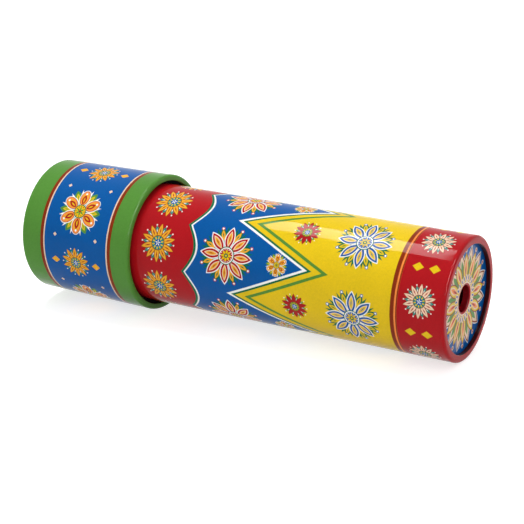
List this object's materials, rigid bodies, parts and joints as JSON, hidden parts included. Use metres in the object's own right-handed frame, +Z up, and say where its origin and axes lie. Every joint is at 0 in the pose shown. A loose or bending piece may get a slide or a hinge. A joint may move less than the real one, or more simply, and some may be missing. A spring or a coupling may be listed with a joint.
{
  "type": "toy kaleidoscope",
  "caption": "Hand-turned toy kaleidoscope: printed tin tube with rolled rims, peephole disc, inner mirror prism and a turning cap holding loose chips behind a frosted pane.",
  "frame": {"origin": "centre of the bounding box in plan, at the lowest point of the cap's mouth rim, so that the tube lies on its side on z = 0", "axes": "+X along the tube's axis from the turning cap to the eyepiece, +Z up, +Y to the left of someone who looks along +X"},
  "size_m": [0.194, 0.0582, 0.0582],
  "materials": {
    "printed_tin_barrel": "gloss lacquer over printed tin",
    "printed_tin_cap": "gloss lacquer over printed tin",
    "printed_tin_eyepiece": "gloss lacquer over printed tin",
    "clear_plastic": "clear, polished",
    "frosted_plastic": "frosted, translucent",
    "grey_card": "plain grey board",
    "mirror_glass": "silvered, bright side towards the axis",
    "spring_steel": "bare spring wire",
    "black_plastic": "moulded, matt",
    "chip_red_plastic": "tinted, clear",
    "chip_yellow_plastic": "tinted, clear",
    "chip_blue_plastic": "tinted, clear",
    "chip_green_plastic": "tinted, clear",
    "chip_orange_plastic": "tinted, clear",
    "chip_purple_plastic": "tinted, clear",
    "bead_clear_plastic": "clear, polished"
  },
  "bodies": {
    "barrel": {"barrel_tube": "printed_tin_barrel", "eyepiece_disc": "printed_tin_eyepiece", "eyepiece_window": "clear_plastic", "mirror_washer_eye": "grey_card", "mirror_bottom": "mirror_glass", "mirror_left": "mirror_glass", "mirror_right": "mirror_glass", "mirror_card_wrap": "grey_card", "mirror_washer_far": "grey_card", "barrel_end_pane": "clear_plastic", "barrel_snap_ring": "spring_steel", "cap_retaining_ring": "black_plastic", "cap_bearing_ring": "black_plastic"},
    "turning_cap": {"cap_shell": "printed_tin_cap", "chip_case": "clear_plastic", "frosted_end_pane": "frosted_plastic", "case_keeper_ring": "black_plastic"},
    "loose_chips": {"chip_red_1": "chip_red_plastic", "chip_red_2": "chip_red_plastic", "chip_red_3": "chip_red_plastic", "chip_red_4": "chip_red_plastic", "chip_yellow_1": "chip_yellow_plastic", "chip_yellow_2": "chip_yellow_plastic", "chip_yellow_3": "chip_yellow_plastic", "chip_blue_1": "chip_blue_plastic", "chip_blue_2": "chip_blue_plastic", "chip_blue_3": "chip_blue_plastic", "chip_blue_4": "chip_blue_plastic", "chip_green_1": "chip_green_plastic", "chip_green_2": "chip_green_plastic", "chip_green_3": "chip_green_plastic", "chip_orange_1": "chip_orange_plastic", "chip_orange_2": "chip_orange_plastic", "chip_orange_3": "chip_orange_plastic", "chip_orange_4": "chip_orange_plastic", "chip_purple_1": "chip_purple_plastic", "chip_purple_2": "chip_purple_plastic", "chip_purple_3": "chip_purple_plastic", "bead_clear_1": "bead_clear_plastic", "bead_clear_2": "bead_clear_plastic", "bead_clear_3": "bead_clear_plastic"}
  },
  "joints": [
    {"name": "cap_turn", "type": "hinge", "parent": "barrel", "child": "turning_cap", "pos_m": [-0.0694, 0, 0.0291], "axis": [1, 0, 0], "continuous": true},
    {"name": "chips_tumble", "type": "hinge", "parent": "barrel", "child": "loose_chips", "pos_m": [-0.0876, 0, 0.0291], "axis": [1, 0, 0], "continuous": true}
  ]
}
